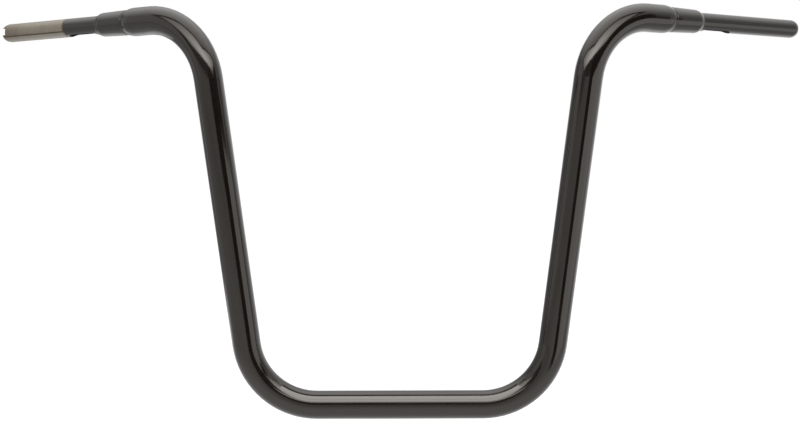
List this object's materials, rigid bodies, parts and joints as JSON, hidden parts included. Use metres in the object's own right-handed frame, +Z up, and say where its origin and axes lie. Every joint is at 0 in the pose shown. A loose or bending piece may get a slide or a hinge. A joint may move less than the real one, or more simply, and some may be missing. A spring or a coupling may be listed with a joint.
{
  "type": "ape hanger handlebar",
  "caption": "Tall, wide motorcycle handlebar: a fat bent tube with upright risers and swept back arms that step down to thinner control tubes.",
  "frame": {"origin": "on the axis of the base tube, midway along it, where the motorcycle's riser clamps hold the bar", "axes": "+X along the base tube to the rider's left (clutch side), +Y back towards the rider, +Z up in the plane of the base tube and both risers"},
  "size_m": [1.1268, 0.2011, 0.5508],
  "materials": {
    "bar_paint": "gloss black powder coat over steel tube",
    "bare_steel": "masked bare steel on the outer 118 mm, the rest of this tube painted gloss black"
  },
  "bodies": {
    "root": {"main_bar": "bar_paint", "throttle_side_sleeve": "bar_paint", "clutch_side_sleeve": "bar_paint", "throttle_side_control_tube": "bare_steel", "clutch_side_control_tube": "bar_paint", "throttle_side_root_weld": "bar_paint", "clutch_side_root_weld": "bar_paint", "throttle_side_tip_weld": "bar_paint", "clutch_side_tip_weld": "bar_paint"}
  },
  "joints": []
}
